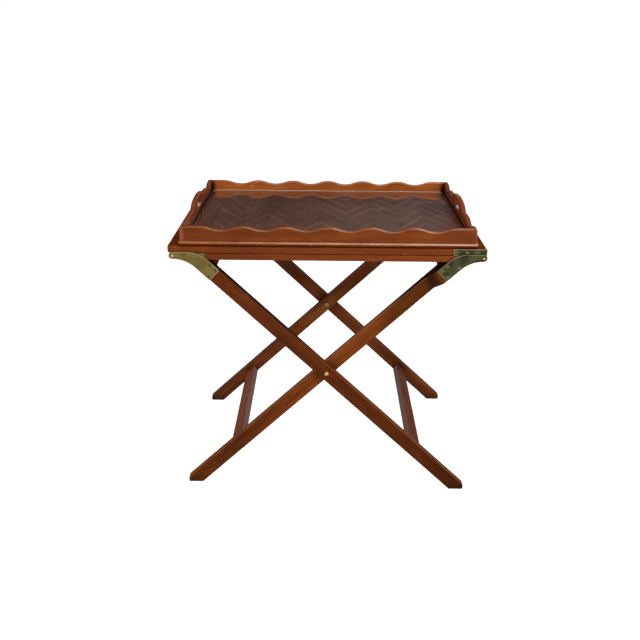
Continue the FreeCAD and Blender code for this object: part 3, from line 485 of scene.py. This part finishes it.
def steel(name):
    """Plain turned steel with a light stain."""
    shader = new_material(name)
    lines = shader.noise(shader.place(stretch=(400.0, 400.0, 2600.0)), detail=2.0)
    stain = shader.noise(shader.place(), scale=160.0, detail=5.0)
    return shader.finish(shader.principled({
        "Base Color": shader.ramp(stain, [(0.3, tone(98, 92, 84)), (0.65, tone(176, 172, 164))]),
        "Metallic": 1.0,
        "Roughness": shader.levels(lines, 0.3, 0.7, 0.3, 0.5),
        "Normal": shader.bump(lines, 0.2, 0.0002, 0.0003),
    }))


# Felt and glass
def felt(name):
    """Green felt, matted in places."""
    shader = new_material(name)
    fibres = shader.noise(shader.place(), scale=1900.0, detail=4.0, roughness=0.7)
    matted = shader.noise(shader.place(), scale=150.0, detail=3.0)
    colour = shader.ramp(fibres, [(0.3, tone(30, 46, 32)), (0.7, tone(62, 84, 60))])
    colour = shader.mix(shader.levels(matted, 0.4, 0.7, 0.0, 0.4), colour, tone(40, 54, 42))
    return shader.finish(shader.principled({
        "Base Color": colour,
        "Roughness": 0.95,
        "Sheen Weight": 0.5,
        "Normal": shader.bump(fibres, 0.6, 0.0006, 0.0006),
    }))


def glass(name):
    """Clear plate glass, a little rippled and smeared."""
    shader = new_material(name)
    ripple = shader.noise(shader.place(), scale=7.0, detail=2.0)
    smear = shader.noise(shader.place(stretch=(6.0, 24.0, 6.0)), detail=5.0, roughness=0.6)
    return shader.finish_clear(shader.principled({
        "Base Color": GLASS_TINT,
        "Roughness": shader.levels(smear, 0.4, 0.75, 0.0, 0.06),
        "IOR": GLASS_IOR,
        "Transmission Weight": 1.0,
        "Normal": shader.bump(ripple, 0.03, 0.002),
    }))


def ground_glass(name):
    """The dull ground edge of the sheet."""
    shader = new_material(name)
    grit = shader.noise(shader.place(), scale=1400.0, detail=3.0)
    return shader.finish_clear(shader.principled({
        "Base Color": shader.ramp(grit, [(0.3, tone(214, 228, 221)), (0.7, tone(238, 246, 242))]),
        "Roughness": shader.levels(grit, 0.3, 0.7, 0.42, 0.58),
        "IOR": GLASS_IOR,
        "Transmission Weight": 0.62,
        "Normal": shader.bump(grit, 0.3, 0.0002),
    }))


# Zigzag floor
def veneer(name, reach):
    """Dark strips, each with its own tone and its grain along its length, with painted shade along the
    walls.
    """
    shader = new_material(name)
    strip = shader.node("ShaderNodeUVMap", uv_map="strip").outputs[0]
    own = shader.node("ShaderNodeAttribute", attribute_name="strip_tone").outputs["Fac"]
    along = shader.node("ShaderNodeMapping", {"Vector": strip, "Scale": (22.0, 520.0, 1.0)}).outputs[0]
    fibre = shader.noise(along, detail=4.0, roughness=0.6, distortion=0.3)
    cloud = shader.noise(shader.place(), scale=9.0, detail=3.0)
    value = shader.math("MULTIPLY_ADD", own, OWN_SHARE, shader.math("MULTIPLY", fibre, FIBRE_SHARE))
    colour = shader.ramp(value, list(zip(STRIP_STOPS, STRIP_TONES)))
    colour = shader.mix(shader.levels(cloud, 0.45, 0.7, 0.0, 0.5), colour, FLOOR_CLOUD)
    spot = shader.parts(shader.spot())
    # Painted shade along the walls, weaker along the long walls
    start, full = WALL_SHADE
    ends = shader.levels(shader.math("ABSOLUTE", spot["X"]), reach.x - start, reach.x - full)
    sides = shader.levels(shader.math("ABSOLUTE", spot["Y"]), reach.y - start, reach.y - full)
    border = shader.math("MAXIMUM", ends, shader.math("MULTIPLY", sides, LONG_WALL_SHARE))
    colour = shader.mix(shader.math("MULTIPLY", border, 0.85), colour, FLOOR_WALL_SHADE)
    colour = shader.mark(colour, STAIN_SPOT, STAIN_REACH, FLOOR_STAIN, STAIN_STRENGTH)
    return shader.finish(shader.principled({
        "Base Color": colour,
        "Specular IOR Level": 0.1,
        "Roughness": shader.levels(fibre, 0.3, 0.7, 0.3, 0.48),
        "Normal": shader.bump(fibre, 0.3, 0.0003),
    }))


def clip(points, axis, limit, side):
    """The part of a convex outline on one side of a line across an axis."""
    kept = []
    for first, second in zip(points, points[1:] + points[:1]):
        near = (first[axis] - limit) * side
        far = (second[axis] - limit) * side
        if near <= 0:
            kept.append(first)
        if near * far < 0:
            kept.append(first.lerp(second, near / (near - far)))
    return kept


def shrink(points, step):
    """A convex outline, drawn anticlockwise, with every side moved in by a step."""
    count = len(points)
    inner = []
    for place, here in enumerate(points):
        back = (here - points[place - 1]).normalized()
        ahead = (points[(place + 1) % count] - here).normalized()
        turn = back.x * ahead.y - back.y * ahead.x
        if abs(turn) < PARALLEL:
            inner.append(here + Vector((-ahead.y, ahead.x)) * step)
        else:
            inner.append(here + (ahead - back) * (step / turn))
    return inner


def area(points):
    """The area of an outline, below 0 where it is drawn clockwise."""
    pairs = zip(points, points[1:] + points[:1])
    return sum(first.x * second.y - first.y * second.x for first, second in pairs) / 2


def strip_outline(low_x, high_x, start, lean, box):
    """One slanting strip of a column, cut to the panel."""
    rise = (high_x - low_x) * math.tan(STRIP_ANGLE) * lean
    tall = STRIP_WIDTH / math.cos(STRIP_ANGLE)
    points = [Vector((low_x, start)), Vector((high_x, start + rise)),
              Vector((high_x, start + rise + tall)), Vector((low_x, start + tall))]
    for axis in (0, 1):
        points = clip(points, axis, box[0][axis], -1)
        points = clip(points, axis, box[1][axis], 1)
    return points


def strip_outlines(box):
    """Every strip of the floor with the direction of its lean."""
    tall = STRIP_WIDTH / math.cos(STRIP_ANGLE)
    reach = COLUMN_WIDTH * math.tan(STRIP_ANGLE)
    first = math.floor((box[0].x - COLUMN_START) / COLUMN_WIDTH)
    last = math.ceil((box[1].x - COLUMN_START) / COLUMN_WIDTH)
    count = math.ceil((box[1].y - box[0].y + reach) / tall) + 3
    found = []
    for column in range(first, last):
        lean = 1 if column % 2 == 0 else -1
        low_x = COLUMN_START + column * COLUMN_WIDTH
        base = box[0].y - (0 if lean < 0 else reach) - tall
        base = math.floor(base / tall) * tall + (0 if lean > 0 else reach % tall)
        for place in range(count):
            points = strip_outline(low_x, low_x + COLUMN_WIDTH, base + place * tall, lean, box)
            if len(points) >= 3 and area(points) > LEAST_STRIP:
                found.append((points, lean))
    return found


class Solid:
    """Gathers closed prisms into one mesh with a tone and a grain direction for each."""

    def __init__(self):
        self.points, self.faces, self.tones, self.maps = [], [], [], []

    def rings(self, outlines, shade, lean, shift, seam=0.0):
        """Joins outlines at rising levels into a closed solid, its sides darker by the seam."""
        start, count, last = len(self.points), len(outlines[0][0]), len(outlines) - 1
        for outline, level in outlines:
            self.points += [(point.x, point.y, level) for point in outline]
        loops = [[start + floor * count + place for place in range(count)] for floor in range(last + 1)]
        sides = [[lower[place], lower[(place + 1) % count], upper[(place + 1) % count], upper[place]]
                 for lower, upper in zip(loops, loops[1:]) for place in range(count)]
        self.faces += sides + [loops[0][::-1], loops[last]]
        self.tones += [shade - seam] * len(sides) + [shade] * 2
        self.maps += [(lean, shift)] * (len(sides) + 2)

    def build(self, name, look):
        mesh = bpy.data.meshes.new(name)
        mesh.from_pydata(self.points, [], self.faces)
        mesh.attributes.new("strip_tone", "FLOAT", "FACE").data.foreach_set("value", self.tones)
        layer = mesh.uv_layers.new(name="strip")
        for face, (lean, shift) in zip(mesh.polygons, self.maps):
            along = Vector((math.cos(STRIP_ANGLE), math.sin(STRIP_ANGLE) * lean))
            for loop in face.loop_indices:
                spot = mesh.vertices[mesh.loops[loop].vertex_index].co.xy
                across = spot.x * along.y - spot.y * along.x
                layer.data[loop].uv = (spot.dot(along) + shift, across + shift)
        mesh.materials.append(look)
        mesh.update()
        piece = bpy.data.objects.new(name, mesh)
        bpy.context.scene.collection.objects.link(piece)
        return piece


def zigzag_floor(look):
    """Bevelled strips on a thin slab, in place of the plain panel."""
    low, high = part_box("herringbone_panel")
    middle = low.z + (high.z - low.z) * SLAB_SHARE
    solid = Solid()
    slab = [low.xy, Vector((high.x, low.y)), high.xy, Vector((low.x, high.y))]
    solid.rings([(slab, low.z), (slab, middle)], 0.0, 1, 0.0)
    draw = random.Random(SEED)
    least, most = STRIP_SWING
    for count, (points, lean) in enumerate(strip_outlines((low.xy, high.xy))):
        foot = shrink(points, STRIP_GAP / 2)
        crown = shrink(points, STRIP_GAP / 2 + STRIP_SEAM)
        if area(crown) <= 0:
            continue
        levels = [(foot, middle - STRIP_BEVEL), (foot, high.z - STRIP_BEVEL), (crown, high.z)]
        swing = least + (most - least) * (points[0].x - low.x) / (high.x - low.x)
        shade = STRIP_TONE + swing * (count % 2 - 0.5) + draw.random() * STRIP_SPREAD
        solid.rings(levels, shade, lean, draw.random() * GRAIN_SHIFT, SEAM_SHADE)
    return solid.build("zigzag_floor", look)


# Marks of wear and stains, painted highlights and painted shade: place, reach and colour
def front(name, across, height):
    """A place on the front face of a node."""
    return (across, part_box(name)[0].y, height)


SMALL = (0.0018, 0.002, 0.0014)
LONG = (0.004, 0.003, 0.001)
LIP = (0.02, 0.027, 0.0026)
UPRIGHT = (0.007, 0.006, 0.032)
HOLLOW = (0.022, 0.03, 0.034)
CORNER = (0.014, 0.022, 0.03)
LIP_HEIGHT = 0.6
CORNER_HEIGHT = 0.59
handle_low, handle_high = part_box("tray_right_handle_rail")
handle_middle = (handle_low.x + handle_high.x) / 2
# Painted shade in the back corners of the tray
CORNER_SHADE_MARKS = [(front("tray_back_rail", side * handle_low.x, CORNER_HEIGHT), CORNER, CORNER_SHADE)
                for side in (-1, 1)]
# Painted light on the floors of the hand slots
SLOT_LIGHT_MARKS = [((side * handle_middle, 0.0, LIP_HEIGHT), LIP, PALE) for side in (-1, 1)]
FRONT_MARKS = [
    (front("tray_front_rail", -0.1323, 0.6056), SMALL, CHIP),
    # Painted highlight on the rounded left end of the rail
    (front("tray_front_rail", -0.3045, 0.588), UPRIGHT, PAINTED_END_HIGHLIGHT),
]
BASE_MARKS = [
    (front("tray_base_board", 0.0723, 0.5726), SMALL, CHIP),
    (front("tray_base_board", -0.0359, 0.5735), LONG, CHIP),
]
BACK_MARKS = [(front("tray_back_rail", -0.1945, 0.5965), SMALL, PALE)] + CORNER_SHADE_MARKS
BOARD_MARKS = [
    (front("upper_board_panel", 0.1596, 0.5578), LONG, CHIP),
    # Painted highlight on the rounded front-left corner
    (front("upper_board_panel", -0.3171, 0.5672), SMALL, CHIP),
]
FRAME_MARKS = [
    (front("lower_front_rail", 0.0869, 0.5432), SMALL, CHIP),
    (front("lower_front_rail", 0.0950, 0.5432), SMALL, CHIP),
    (front("lower_front_rail", 0.1615, 0.547), LONG, STAIN_AND_SHADOW),
]
LEG_MARKS = [
    (front("inner_leg_front", -0.2389, 0.0756), SMALL, CHIP),
    (front("inner_leg_front", -0.2541, 0.05), SMALL, CHIP),
    # Painted shadow of the spacer block on the leg
    (front("inner_leg_front", 0.2237, 0.4934), HOLLOW, SHADE),
]

# Painted light and shade on the legs, as lighter and darker stretches: place along X, reach and gain
INNER_TINTS = ((0.177, 0.075, 0.68), (-0.002, 0.15, 1.5), (-0.2145, 0.05, 0.78))
OUTER_TINTS = ((0.262, 0.07, 0.72),)
OUTER_BACK_TINTS = ((0.2, 0.08, 0.78), (-0.03, 0.06, 1.5))

# Heights where the painted shadow of the top on the upper faces of the legs starts and where it is
# darkest
OUTER_COVER = (0.28, 0.4)
INNER_COVER = (0.4, 0.48)

# Materials of the table
FRONT_LEG = {"depth": 0.05, "dirt_and_shade": 0.75, "coat": 0.04, "warm": LEG_RIM}
BACK_LEG = {"depth": 0.05, "coat": 0.09}
tray_front = wood("mahogany_tray_front", ALONG_X, TRAY_TONES, 0.3, rim=0.9, lean=0.75, marks=FRONT_MARKS)
tray_base = wood("mahogany_tray_base", ALONG_X, TRAY_TONES, 9.2, dirt_and_shade=0.3, rim=1.0, marks=BASE_MARKS)
tray_back = wood("mahogany_tray_back", ALONG_X, BACK_TONES, 2.1, depth=0.008, dirt_and_shade=0.6, rim=0.75,
                 marks=BACK_MARKS)
tray_y = wood("mahogany_tray_y", ALONG_Y, END_TONES, 1.2, depth=0.018, dirt_and_shade=0.75, coat=0.2,
              marks=SLOT_LIGHT_MARKS + CORNER_SHADE_MARKS)
board_x = wood("mahogany_board_x", ALONG_X, BOARD_TONES, 3.7, dirt_and_shade=0.3, marks=BOARD_MARKS)
frame_x = wood("mahogany_frame_x", ALONG_X, BOARD_TONES, 5.9, marks=FRAME_MARKS)
frame_y = wood("mahogany_frame_y", ALONG_Y, BOARD_TONES, 4.4)
outer_leg = wood("mahogany_outer_leg", ALONG_OUTER_LEG, LEG_TONES, 0.8, rim=0.4, covered=OUTER_COVER,
                 tints=OUTER_TINTS, **FRONT_LEG)
inner_leg = wood("mahogany_inner_leg", ALONG_INNER_LEG, GOLD_LEG_TONES, 6.3, rim=0.6, covered=INNER_COVER,
                 tints=INNER_TINTS, marks=LEG_MARKS, **FRONT_LEG)
outer_leg_back = wood("mahogany_outer_leg_back", ALONG_OUTER_LEG, PALE_LEG_TONES, 1.9,
                      tints=OUTER_BACK_TINTS, **BACK_LEG)
inner_leg_back = wood("mahogany_inner_leg_back", ALONG_INNER_LEG, PALE_LEG_TONES, 8.4, **BACK_LEG)
leg_y = wood("mahogany_leg_y", ALONG_Y, PALE_LEG_TONES, 7.5)
left_stretcher = wood("mahogany_stretcher_left", ALONG_Y, STRETCHER_TONES, 7.5, coat=0.04, painted_sheen=1)
right_stretcher = wood("mahogany_stretcher_right", ALONG_Y, DARK_STRETCHER_TONES, 4.9, coat=0.04, painted_sheen=-1)
right_screws = screw_spots("inner_leg_plate_screws", "upper_plate_screws")
old_brass = brass("brass_left", tone(118, 103, 58), tone(86, 73, 38))
dark_brass = brass("brass_right", tone(80, 77, 50), tone(36, 35, 23), 3.0, screws=right_screws)
bolt_brass = brass("brass_bolt", tone(204, 182, 124), tone(140, 118, 66), 5.0, rub_and_highlight=0.3, polish=0.2)
# Darker brass on the back bolt: painted shade
dark_bolt = brass("brass_bolt_dark", tone(150, 124, 76), tone(84, 66, 36), 6.0, rub_and_highlight=0.4, polish=0.1)
screw_brass = brass("brass_screw", tone(66, 58, 34), tone(40, 35, 20), 7.0, rub_and_highlight=0.15)
pale_screw = brass("brass_screw_pale", tone(106, 101, 68), tone(70, 67, 44), 9.0, rub_and_highlight=0.15)
plain_steel = steel("steel_plain")
green_felt = felt("felt_green")
plate_glass = glass("glass_plate")
edge_glass = ground_glass("glass_edge")
dark_veneer = veneer("veneer_zigzag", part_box("herringbone_panel")[1])


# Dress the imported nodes
def dress(look, *names):
    for name in names:
        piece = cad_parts[name]
        piece.data.materials.clear()
        piece.data.materials.append(look)


def dress_rim(look, name):
    """Gives the faces around a flat sheet a material of their own."""
    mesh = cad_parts[name].data
    mesh.materials.append(look)
    for face in mesh.polygons:
        if abs(face.normal.z) < FLAT_FACE:
            face.material_index = 1


def pair(stem):
    """The names of a piece at the front and of its twin at the back."""
    return [stem + "_front", stem + "_back"]


dress(tray_front, "tray_front_rail")
dress(tray_base, "tray_base_board")
dress(tray_back, "tray_back_rail")
dress(tray_y, "tray_left_handle_rail", "tray_right_handle_rail")
dress(board_x, "upper_board_panel")
dress(frame_x, "lower_front_rail", "lower_back_rail")
dress(frame_y, "lower_left_rail", "lower_right_rail", "stop_batten")
dress(outer_leg, "outer_leg_front")
dress(outer_leg_back, "outer_leg_back")
dress(inner_leg, "inner_leg_front", *pair("spacer_block"))
dress(inner_leg_back, "inner_leg_back")
dress(leg_y, "outer_top_rail", "inner_top_rail")
dress(left_stretcher, "inner_stretcher")
dress(right_stretcher, "outer_stretcher")
dress(old_brass, *pair("outer_leg_plate"), *pair("lower_hinge_plate"))
dress(dark_brass, *pair("inner_leg_plate"), *pair("upper_hinge_plate"))
dress(screw_brass, "outer_leg_plate_screws", "lower_plate_screws")
dress(pale_screw, "inner_leg_plate_screws", "upper_plate_screws")
dress(bolt_brass, "centre_bolt_front", "outer_corner_pins", "inner_corner_pins")
dress(dark_bolt, "centre_bolt_back")
dress(plain_steel, "pivot_washers", "pivot_nuts", "gallery_screws")
dress(green_felt, "tray_felt_pads")
dress(plate_glass, "glass_panel")
dress_rim(edge_glass, "glass_panel")

strips = zigzag_floor(dark_veneer)
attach(strips, "tray")
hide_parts("herringbone_panel")


# Stage
def white_floor():
    """A matt pale floor that shows as white and keeps the object's shadow."""
    shader = new_material("floor_white")
    dust = shader.noise(shader.place(), scale=3.0, detail=4.0)
    matt = shader.principled({
        "Base Color": shader.ramp(dust, [(0.3, grey(0.88)), (0.7, grey(0.92))]),
        "Roughness": 0.9,
        "Specular IOR Level": 0.0,
    })
    strength = shader.math("MULTIPLY", shader.showing(), FLOOR_GLOW)
    glow = shader.node("ShaderNodeEmission", {"Strength": strength})
    both = shader.node("ShaderNodeAddShader", {0: matt, 1: glow.outputs[0]})
    bpy.ops.mesh.primitive_plane_add(size=FLOOR_SIZE, location=(0.0, 0.0, -FLOOR_DROP))
    floor = bpy.context.object
    floor.name = "floor"
    floor.data.materials.append(shader.finish(both.outputs[0]))
    return floor


def studio_world():
    """White seen directly; reflections see a white horizon under a grey ceiling."""
    shader = Shader(bpy.data.worlds.new("studio"))
    height = shader.parts(shader.node("ShaderNodeTexCoord").outputs["Generated"])["Z"]
    sky = shader.ramp(height, [(place, grey(level)) for place, level in SKY_LEVELS])
    direct = shader.node("ShaderNodeLightPath").outputs["Is Camera Ray"]
    seen = shader.node("ShaderNodeBackground", {0: shader.mix(direct, sky, WHITE)})
    light = shader.node("ShaderNodeBackground", {0: WHITE, 1: SKY_LIGHT})
    mixed = {0: shader.showing(), 1: light.outputs[0], 2: seen.outputs[0]}
    both = shader.node("ShaderNodeMixShader", mixed)
    bpy.context.scene.world = shader.finish(both.outputs[0], "ShaderNodeOutputWorld")


def lamp(name, spot, target, width, height, power):
    """A soft rectangular lamp turned to its target."""
    data = bpy.data.lights.new(name, "AREA")
    data.shape = "RECTANGLE"
    data.size = width
    data.size_y = height
    data.energy = power
    piece = bpy.data.objects.new(name, data)
    piece.location = spot
    piece.rotation_euler = (Vector(target) - Vector(spot)).to_track_quat("-Z", "Y").to_euler()
    bpy.context.scene.collection.objects.link(piece)


def camera():
    data = bpy.data.cameras.new("camera")
    data.lens = CAMERA_LENS
    data.sensor_width = SENSOR
    piece = bpy.data.objects.new("camera", data)
    turn = (Matrix.Rotation(CAMERA_YAW, 4, "Z") @ Matrix.Rotation(CAMERA_PITCH, 4, "X")
            @ Matrix.Rotation(CAMERA_ROLL, 4, "Z"))
    piece.matrix_world = Matrix.Translation(CAMERA_SPOT) @ turn
    bpy.context.scene.collection.objects.link(piece)
    bpy.context.scene.camera = piece


white_floor()
studio_world()
for lamp_name, settings in LAMPS.items():
    lamp(lamp_name, *settings)
camera()
bpy.context.scene.view_settings.view_transform = "Standard"
